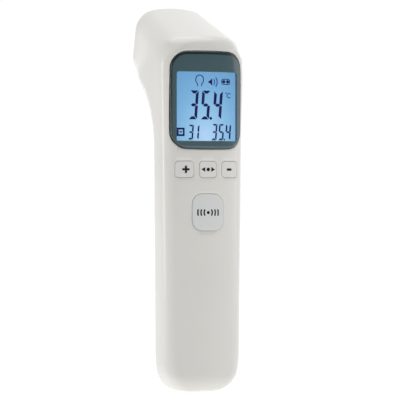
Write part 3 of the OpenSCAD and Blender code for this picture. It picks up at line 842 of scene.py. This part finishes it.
def make_rear_shell():
    shell = casing_shell("rear_shell_skin", False)
    hole = door_outline(DOOR_GAP)
    carve(shell, lipped_cutter("door_hole", hole, grip_back, -1, 0.2, lambda x, z: DOOR_SEAT_Y))
    carve(shell, nose_bore())
    pillars = [pillar(side * SCREW_X, SCREW_Z, low=7.75, high=3.4, r=2.9, bore_r=1.1, bore_low=4.2)
               for side in (-1, 1)]
    carve(shell, joined("pillars", pillars), "UNION")
    carve(shell, joined("pockets", [screw_pocket(side * SCREW_X, SCREW_Z) for side in (-1, 1)]))
    fit_out(shell, "casing", [CASING], ["rear_shell"])


def door_rings():
    """Rings of the battery cover from the middle of its inside, round its edge, to the middle of its face."""
    outline = door_outline(0)
    shrinks = (0.96, 0.88, 0.76, 0.62, 0.46, 0.3, 0.14)
    steps = [(scaled(outline, f), DOOR_WALL) for f in reversed(shrinks)]
    steps += [(grown(outline, -0.2), DOOR_WALL), (outline, DOOR_WALL - 0.2)]
    steps += [(grown(outline, -inwards), down) for inwards, down in rounding(DOOR_EDGE_R)]
    steps += [(scaled(outline, f), 0.0) for f in shrinks]
    return [placed(ring, lambda x, z: grip_back(x, z) - deep) for ring, deep in steps]


def thumb_groove(z):
    """Cutter for a groove across the cover: a thin rod with rounded ends."""
    place = Vector((0, grip_back(0, z) + 0.25, z))
    end = ((6.0, 0.2), (5.9, 0.5), (5.5, 0.68), (5.0, 0.7))
    profile = [(-x, r) for x, r in end] + list(end[::-1])
    turns = full_turns(24, 0.5)
    return loft("thumb_groove", [[place + Vector((x, r * cos(a), r * sin(a))) for a in turns]
                                 for x, r in profile])


def make_battery_cover():
    cover = loft("battery_cover_skin", door_rings())
    for i in range(GROOVES):
        carve(cover, thumb_groove(DOOR_HIGH.z - GROOVE_BELOW_TOP + GROOVE_PITCH * i))
    for x in (-HOOK_X, HOOK_X):
        left, right = x - HOOK_HALF_W, x + HOOK_HALF_W
        carve(cover, block("hook", (left, 7.4, 10), (right, 9.2, 12)), "UNION")
        carve(cover, block("hook_tip", (left, 6.6, 7.5), (right, 7.7, 12)), "UNION")
    fit_out(cover, "battery_door", [CASING], ["battery_cover"])


# ======== display
def make_lens():
    """Glossy panel round the window: a loop from the window's edge over the face and bevel to the back. Its
    bevel, rim and back carry dark painted shade, and so does its wall round the window.
    """
    window = rounded_outline(WINDOW_HALF[0] + 0.03, WINDOW_HALF[1] + 0.03, WINDOW_CORNERS, (0, WINDOW_Z),
                             per_corner=12, per_side=12)
    rim, face = lens_outline(), lens_outline(*LENS_BEVEL)
    back = LENS_PROUD - LENS_T
    rings = [placed(window, lambda x, z: crown_cylinder(x, back)),
             placed(window, lambda x, z: crown_cylinder(x, LENS_PROUD - 0.12))]
    rings += [placed(between(grown(window, 0.12), face, t / 3), lambda x, z: crown_cylinder(x, LENS_PROUD))
              for t in range(4)]
    bevel = len(rings) - 1
    for a in quarter_turns(6)[1:]:
        rings.append(placed(between(face, rim, sin(a)), lambda x, z: mix(
            head_front(x, z) + 0.1, crown_cylinder(x, LENS_PROUD), cos(a))))
    rings.append(placed(rim, lambda x, z: head_front(x, z) + LENS_RIM_DEEP))
    rings.append(placed(grown(rim, -1.2), lambda x, z: crown_cylinder(x, back)))
    lens = loft("display_lens", rings, closed_loop=True)
    # Wall round the window (2): violet painted shade; bevel, rim and back (1): near-black painted shade; face
    # (0): teal
    for i, poly in enumerate(lens.data.polygons):
        ring = i // len(rim)
        poly.material_index = 2 if ring == 0 else 1 if ring >= bevel else 0
    fit_out(lens, "casing", [BEZEL, BEZEL_EDGE_SHADE, WINDOW_EDGE_SHADE], ["display_bezel"])


def make_window():
    """Clear pane whose side faces are dark violet: painted shade of the dark strip along the display's edge."""
    outline = rounded_outline(*WINDOW_HALF, WINDOW_CORNERS, (0, WINDOW_Z), per_corner=6, per_side=12)
    front, back = LENS_PROUD - 0.1, LENS_PROUD - LENS_T
    shrinks = [1 - 0.1 * i for i in range(1, 10)]
    steps = [(scaled(outline, f), back) for f in reversed(shrinks)]
    steps += [(outline, back), (outline, front - 0.1), (grown(outline, -0.1), front)]
    steps += [(scaled(outline, f), front) for f in shrinks]
    rings = [placed(ring, lambda x, z: crown_cylinder(x, raised)) for ring, raised in steps]
    pane = loft("display_window_pane", rings)
    # The pane's side faces take the violet painted shade
    for i, poly in enumerate(pane.data.polygons):
        if i // len(outline) == len(shrinks):
            poly.material_index = 1
    fit_out(pane, "casing", [PANE, WINDOW_EDGE_SHADE], ["display_window"])


def make_display_glass():
    """Two glass sheets with a small step between them."""
    half = LCD_HIGH.x, (LCD_HIGH.z - LCD_LOW.z) / 2
    front = rounded_outline(*half, (0.3, 0.3), (0, WINDOW_Z), per_corner=3, per_side=2)
    rear = rounded_outline(half[0] - 0.2, half[1] - 0.2, (0.2, 0.2), (0, WINDOW_Z), per_corner=3, per_side=2)
    middle = (LCD_LOW.y + LCD_HIGH.y) / 2
    steps = ((grown(front, -0.08), LCD_LOW.y), (front, LCD_LOW.y + 0.08), (front, middle), (rear, middle),
             (rear, LCD_HIGH.y))
    glass = loft("display_glass", [flat_ring(ring, y) for ring, y in steps])
    fit_out(glass, "casing", [DISPLAY], ["lcd_panel"])


def prisms(name, outlines, surface, thick):
    """Thin raised marks with the given outlines, lying on a surface that faces the front."""
    points, faces = [], []
    for outline in outlines:
        turning = sum(a[0] * b[1] - b[0] * a[1] for a, b in zip(outline, outline[1:] + outline[:1]))
        outline = outline if turning > 0 else outline[::-1]
        base, n = len(points), len(outline)
        points += placed(outline, lambda x, z: surface(x, z) - thick)
        points += placed(outline, lambda x, z: surface(x, z) + 0.02)
        faces.append(tuple(base + i for i in range(n)))
        faces.append(tuple(base + n + i for i in reversed(range(n))))
        faces += [(base + i, base + n + i, base + n + (i + 1) % n, base + (i + 1) % n) for i in range(n)]
    return new_object(name, points, faces)


def bow_stroke(centre, radius, stroke, start, end, squash=1.0, n=20):
    """Band along part of a circle or ellipse, angles in degrees."""
    turns = [radians(mix(start, end, i / n)) for i in range(n + 1)]
    band = [(radius + stroke / 2, a) for a in turns] + [(radius - stroke / 2, a) for a in reversed(turns)]
    narrower = radius * (1 - squash)
    return [(centre[0] + (r - narrower) * cos(a), centre[1] + r * sin(a)) for r, a in band]


def bar_outline(low, high):
    return [(low[0], low[1]), (high[0], low[1]), (high[0], high[1]), (low[0], high[1])]


def finely(outline, step=0.4):
    """The outline with extra points, so that it can follow a curved surface."""
    fine = []
    for a, b in zip(outline, outline[1:] + outline[:1]):
        n = max(1, round(dist(a, b) / step))
        fine += [(mix(a[0], b[0], i / n), mix(a[1], b[1], i / n)) for i in range(n)]
    return fine


LIT = {"1": "bc", "3": "abcdg", "4": "bcfg", "5": "acdfg"}
# Piece, text, left side, pitch, lower side, and each digit's width, height and stroke
READINGS = (("display_reading", "35.4", -7.15, 5.15, 106.5, 3.7, 11.3, 1.2),
            ("display_memory_number", "31", -7.4, 2.4, 98.6, 2.25, 5.8, 0.68),
            ("display_memory_reading", "35.4", 2.65, 2.95, 98.5, 2.25, 6.3, 0.68))
BATTERY_Z, BATTERY_LEFT, BATTERY_RIGHT, BATTERY_HALF_H, BATTERY_STROKE = 121.4, 7.75, 10.0, 1.0, 0.32


def segment_outlines(w, h, t):
    """The seven segments of a digit of width w, height h and stroke t, by letter."""
    g, mid, half = 0.1 * t, h / 2, t / 2
    upper = [(w - t, h - t - g), (w, h - 2 * g), (w, mid + half * 0.6), (w - half, mid + g),
             (w - t, mid + half + g)]
    lower = [(x, h - z) for x, z in upper]
    top = [(2 * g, h), (w - 2 * g, h), (w - t - g, h - t), (t + g, h - t)]
    middle = [(half + g, mid), (t + g, mid + half), (w - t - g, mid + half), (w - half - g, mid),
              (w - t - g, mid - half), (t + g, mid - half)]
    return {"a": top, "d": [(x, h - z) for x, z in top], "g": middle, "b": upper, "c": lower,
            "f": [(w - x, z) for x, z in upper], "e": [(w - x, z) for x, z in lower]}


def digit(character, left, low, width, height, stroke, slant=0.075):
    shapes = segment_outlines(width, height, stroke)
    return [[(left + x + slant * z, low + z) for x, z in shapes[s]] for s in LIT[character]]


def reading(text, left, pitch, low, width, height, stroke):
    """Outlines of a number; a point takes no place of its own."""
    outlines, x = [], left
    for character in text:
        if character == ".":
            point = x - pitch + width + 0.55 * stroke + 0.1, low + 0.4 * stroke
            outlines.append(circle(point, 0.48 * stroke, 12))
            continue
        outlines += digit(character, x, low, width, height, stroke)
        x += pitch
    return outlines


def display_piece(name, outlines, mat):
    fit_out(prisms(name, outlines, lambda x, z: LCD_LOW.y, 0.03), "casing", [mat])


def memory_mark():
    """Thick square round a short bar."""
    left, low, side, edge = -12.0, 99.9, 3.3, 0.75
    right, high = left + side, low + side
    return [bar_outline((left, high - edge), (right, high)), bar_outline((left, low), (right, low + edge)),
            bar_outline((left, low + edge), (left + edge, high - edge)),
            bar_outline((right - edge, low + edge), (right, high - edge)),
            bar_outline((left + 1.1, low + 1.4), (right - 1.1, low + 1.9))]


def battery_outline():
    """Battery sign: two bars between two half rounds."""
    case = []
    for x, start in ((BATTERY_LEFT, 90), (BATTERY_RIGHT, -90)):
        case.append(bow_stroke((x, BATTERY_Z), BATTERY_HALF_H, BATTERY_STROKE, start, start + 180, 0.6, 12))
    for z in (BATTERY_Z + BATTERY_HALF_H, BATTERY_Z - BATTERY_HALF_H):
        half = BATTERY_STROKE / 2
        case.append(bar_outline((BATTERY_LEFT, z - half), (BATTERY_RIGHT, z + half)))
    return case


def make_display_marks():
    for name, *layout in READINGS:
        display_piece(name, reading(*layout), SEGMENT)
    display_piece("display_memory_mark", memory_mark(), SEGMENT)
    unit = [bow_stroke((10.3, 116.0), 0.85, 0.42, 42, 318),
            bow_stroke((8.95, 116.95), 0.28, 0.2, 0, 359, 1, 12)]
    display_piece("display_unit", unit, FAINT)
    arch = [bow_stroke((-2.3, 122.0), 1.85, 0.36, -52, 232, 0.9, 36),
            bar_outline((-3.35, 119.5), (-3.0, 120.6)), bar_outline((-1.6, 119.5), (-1.25, 120.6))]
    display_piece("display_target_mark", arch, SEGMENT)
    horn = [(1.5, 120.8), (2.0, 120.8), (3.1, 119.75), (3.1, 122.7), (2.0, 121.65), (1.5, 121.65)]
    display_piece("display_speaker", [horn], SEGMENT)
    waves = [bow_stroke((2.4, 121.2), r, 0.5, -40, 40) for r in (1.7, 2.8)]
    display_piece("display_speaker_waves", waves, FAINT)
    display_piece("display_battery_outline", battery_outline(), SEGMENT)
    charge = [circle((x, BATTERY_Z), 0.72, 6) for x in (BATTERY_LEFT + 0.3, BATTERY_RIGHT - 0.3)]
    display_piece("display_battery_charge", charge, SEGMENT)


# ======== keys
CAP_GROW, CAP_EDGE_R, FLANGE_T = 0.1, 0.24, 0.4


def cap_rings(outline, centre, node, per_corner, stem_r, top_y):
    """Rings of a key from the end of its stem, over its flange, to the middle of its face."""
    low, high = box_mm(node)
    stem = arc(centre, stem_r, [atan2(z - centre[1], x - centre[0]) for x, z in outline])
    middle = (low.x + high.x) / 2, (low.z + high.z) / 2
    flange = rounded_outline((high.x - low.x) / 2, (high.z - low.z) / 2, (0.3, 0.3), middle,
                             per_corner=per_corner, per_side=len(outline) // 4 - per_corner)
    cap = grown(outline, CAP_GROW)
    flange_y = high.y - FLANGE_T

    def behind_wall(x, _):
        return min(crown_cylinder(x, -WALL - 0.25), flange_y - 0.02)

    rings = [flat_ring(stem, high.y), flat_ring(stem, flange_y), flat_ring(flange, flange_y),
             placed(flange, behind_wall), placed(cap, behind_wall)]
    for inwards, down in rounding(CAP_EDGE_R):
        rings.append(placed(grown(cap, -inwards), lambda x, z: top_y(x, z) + down))
    inner = grown(cap, -CAP_EDGE_R)
    return rings + [placed(scaled(inner, f), top_y) for f in (0.92, 0.8, 0.65, 0.5, 0.35, 0.2, 0.08)]


def scan_top(x, z):
    """Thumb key face: flush at its upper edge, proud at its lower edge, and slightly pillowed."""
    across, up = x / SCAN_HALF[0], (z - SCAN_Z) / SCAN_HALF[1]
    pillow = max(0.0, 1 - across * across) * max(0.0, 1 - up * up)
    return grip_front(x, z) - 0.24 + 0.18 * up - 0.1 * pillow


def row_top(x, z):
    return grip_front(x, z) - 0.12


def label(name, outlines, top_y, body):
    marks = prisms(name, [finely(o) for o in outlines], top_y, 0.025)
    fit_out(marks, body, [LABEL])


def scan_mark():
    """A dot between waves."""
    centre = (-0.1, SCAN_Z - 0.15)
    outlines = [circle(centre, 0.62, 20)]
    for r, half_turn in ((1.75, 42), (3.05, 24), (4.35, 16.5)):
        outlines.append(bow_stroke(centre, r, 0.6, -half_turn, half_turn))
        outlines.append(bow_stroke(centre, r, 0.6, 180 - half_turn, 180 + half_turn))
    return outlines


def mode_mark():
    """A dot between two arrowheads."""
    z, tip, base, half = ROW_Z - 0.05, 2.9, 1.3, 0.92
    right = [(tip, z), (base, z + half), (base, z - half)]
    return [circle((0, z), 0.72, 20), right, [(-x, y) for x, y in right]]


def plus_mark():
    x, z, arm, half = 0.45 - ROW_PITCH, ROW_Z - 0.05, 1.42, 0.42
    corner, outline = [(-arm, -half), (-half, -half), (-half, -arm)], []
    for _ in range(4):
        outline += [(x + u, z + v) for u, v in corner]
        corner = [(-v, u) for u, v in corner]
    return [outline]


def minus_mark():
    x, z = ROW_PITCH - 0.15, ROW_Z - 0.05
    return [bar_outline((x - 1.1, z - 0.46), (x + 1.1, z + 0.46))]


def make_keys():
    rings = cap_rings(scan_outline(), (0, SCAN_Z), "scan_key", SCAN_PER_CORNER, 2.0, scan_top)
    fit_out(loft("scan_key_cap", rings), "scan_button", [SCAN_KEY], ["scan_key"])
    label("scan_key_mark", scan_mark(), scan_top, "scan_button")
    for side, word, mark in ((-1, "plus", plus_mark), (0, "mode", mode_mark), (1, "minus", minus_mark)):
        node = word + "_key"
        rings = cap_rings(row_outline(side), (side * ROW_PITCH, ROW_Z), node, ROW_PER_CORNER, 1.4, row_top)
        fit_out(loft(node + "_cap", rings), word + "_button", [KEY], [node])
        label(node + "_mark", mark(), row_top, word + "_button")


# ======== sensor in the nose
def make_sensor():
    """Nose ring, cone, can and window; profiles are (radius, place along the line of sight)."""
    ring = [(8.9, -2.0), (RING_R, -2.0), (RING_R, 1.6), (10.88, 1.88), (10.6, 2.0), (9.5, 2.0), (9.15, 1.85),
            (8.9, 1.5)]
    ring_piece = turned("nose_ring_trim", ring, nose_point, True, 96)
    fit_out(ring_piece, "casing", [NOSE], ["nose_ring"], 50)
    cone = [(8.8, 1.2), (8.6, 1.4), (8.1, 1.4), (3.0, -7.2), (3.0, -8.0), (3.9, -8.0), (3.9, -7.4), (8.8, 0.9)]
    cone_piece = turned("sensor_cone_mirror", cone, nose_point, True, 96)
    fit_out(cone_piece, "casing", [CHROME], ["sensor_cone"])
    can = [(0.5, -11.6), (2.9, -11.6), (2.9, -9.0), (2.4, -9.0), (2.4, -8.3), (3.8, -8.3), (4.08, -8.42),
           (4.2, -8.7), (4.2, -12.6), (4.25, -12.7), (4.25, -13.3), (0.5, -13.3)]
    can_piece = turned("thermopile_can_shell", can, nose_point)
    fit_out(can_piece, "casing", [CAN], ["thermopile_can"])
    window = [(0.3, -8.72), (2.6, -8.7), (2.6, -9.02), (2.85, -9.04), (2.85, -9.1), (0.3, -9.1)]
    window_piece = turned("sensor_window_disc", window, nose_point)
    fit_out(window_piece, "casing", [SILICON], ["sensor_window"])


# ======== power
CELL_R, CELL_X = 5.2, centre_mm("battery_right").x


def make_cell(name, node, x, button_up):
    """Battery with a dished flat end, a rounded shoulder and a button."""
    low, high = box_mm(node)
    l = high.z - low.z
    profile = [(0.5, 0.12), (4.0, 0.1), (4.4, 0.2), (4.7, 0.05), (CELL_R - 0.3, 0.0), (CELL_R, 0.35),
               (CELL_R, l - 1.6), (CELL_R - 0.15, l - 1.3), (CELL_R - 0.6, l - 1.2), (3.2, l - 1.2),
               (2.6, l - 1.05), (1.9, l - 0.95), (1.9, l - 0.2), (1.7, l), (0.5, l)]
    flat_z, button_z = (low.z, high.z) if button_up else (high.z, low.z)
    away = 1 if button_up else -1
    cell = turned(name, [(r, flat_z + away * h) for r, h in profile], upright(x, (low.y + high.y) / 2))
    fit_out(cell, "casing", [cell_jacket(name + "_jacket", flat_z, button_z)], [node])


def make_spring(name, node, x, downwards):
    """Conical coil spring of round wire, wide at the contact and narrow at the cell."""
    low, high = box_mm(node)
    y = centre_mm("battery_left").y
    wire, loops, steps = 0.3, 4, 128
    path = []
    for i in range(steps + 1):
        t = i / steps
        r, a = mix(3.55, 2.2, t), 2 * pi * loops * t
        h = mix(wire, high.z - low.z - wire, t)
        path.append(Vector((x + r * cos(a), y + r * sin(a), high.z - h if downwards else low.z + h)))
    fit_out(tube(name, path, wire, 10), "casing", [NICKEL], [node])


def make_power():
    make_cell("cell_left", "battery_left", -CELL_X, True)
    make_cell("cell_right", "battery_right", CELL_X, False)
    make_spring("spring_lower", "lower_spring", -CELL_X, False)
    make_spring("spring_upper", "upper_spring", CELL_X, True)


def dress_frame():
    """Gives the CAD nodes that stay their procedural materials."""
    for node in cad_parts.values():
        if not node.hide_render:
            node.data.materials[0] = FRAME_MATERIALS[node.data.materials[0].name]


# ======== camera, light and floor
AZIMUTH = radians(-24.5)
CAMERA_BACK, CAMERA_ASIDE, CAMERA_Z = 950.0, 1.22, 75.04
SENSOR_MM, LENS_MM = 36, 217.2
# Brightness of the studio from the camera's side (0) to the far side, above and to the right (1)
STUDIO_AXIS = (0.45, 0.85, 0.25)
STUDIO_LEVELS = ((0.0, 0.16), (0.35, 0.19), (0.52, 0.44), (0.80, 0.62), (0.93, 1.03))
LAMP_AIM = (0, 0, 0.075)
FLOOR_HALF, FLOOR_GLOW = 6000.0, 0.72


def grey(level):
    return (level, level, level)


def new_light(name, kind, power):
    data = bpy.data.lights.new(name, kind)
    data.energy = power
    return linked(name, data)


def aim(thing, direction):
    """Turns a lamp or the camera to look along a direction."""
    thing.rotation_mode = "QUATERNION"
    thing.rotation_quaternion = direction.to_track_quat("-Z", "Y")


def make_camera():
    back = Vector((sin(AZIMUTH), -cos(AZIMUTH), 0))
    right = Vector((cos(AZIMUTH), sin(AZIMUTH), 0))
    data = bpy.data.cameras.new("camera")
    data.sensor_width = SENSOR_MM
    data.lens = LENS_MM
    data.clip_start, data.clip_end = 0.05, 50
    camera = linked("camera", data)
    camera.location = (Vector((0, 0, CAMERA_Z)) + CAMERA_ASIDE * right + CAMERA_BACK * back) * MM
    aim(camera, -back)
    bpy.context.scene.camera = camera


def softbox(name, place, size, power):
    """Rectangular lamp aimed at the middle of the object, with its place and size in metres."""
    light = new_light(name, "AREA", power)
    light.data.shape = "RECTANGLE"
    light.data.size, light.data.size_y = size
    light.location = place
    aim(light, Vector(LAMP_AIM) - Vector(place))


def make_world():
    """White studio: bright behind, above and to the right, dimmer on the camera's side."""
    world = bpy.data.worlds.new("studio")
    bpy.context.scene.world = world
    tree = Tree(world, "Background")
    facing = tree.vector("DOT_PRODUCT", tree.coordinates("Generated"), STUDIO_AXIS)
    stops = [(place, grey(level)) for place, level in STUDIO_LEVELS]
    tree.finished({"Color": tree.ramp(tree.remapped(facing, (0, 1), (-1, 1)), stops)})


def make_lights():
    softbox("left_strip", (-0.64, 0.22, 0.12), (0.05, 0.6), 1.0)
    softbox("right_panel", (0.60, -0.30, 0.12), (0.25, 0.6), 0.55)
    new_light("overhead", "SUN", 1.5).data.angle = radians(60)


def make_floor():
    """Pale paper that glows a little, so that it renders white."""
    corners = [(-FLOOR_HALF, -FLOOR_HALF), (FLOOR_HALF, -FLOOR_HALF), (FLOOR_HALF, FLOOR_HALF),
               (-FLOOR_HALF, FLOOR_HALF)]
    floor = new_object("floor", [(x, y, 0) for x, y in corners], [(0, 1, 2, 3)])
    tree = new_tree("floor_paper")
    grain = tree.ramp(tree.noise(25, 3), [(0.2, grey(0.39)), (0.8, grey(0.41))])
    paper = tree.finished({"Base Color": grain, "Emission Color": (1, 1, 1, 1), "Emission Strength": FLOOR_GLOW,
                           "Roughness": 0.9, "Specular IOR Level": 0.0})
    floor.data.materials.append(paper)
    floor.data.transform(Matrix.Scale(MM, 4))


make_camera()
make_world()
make_lights()
make_floor()
bpy.context.scene.view_settings.view_transform = "Standard"

make_front_shell()
make_rear_shell()
make_battery_cover()
make_lens()
make_window()
make_display_glass()
make_display_marks()
make_keys()
make_sensor()
make_power()
dress_frame()
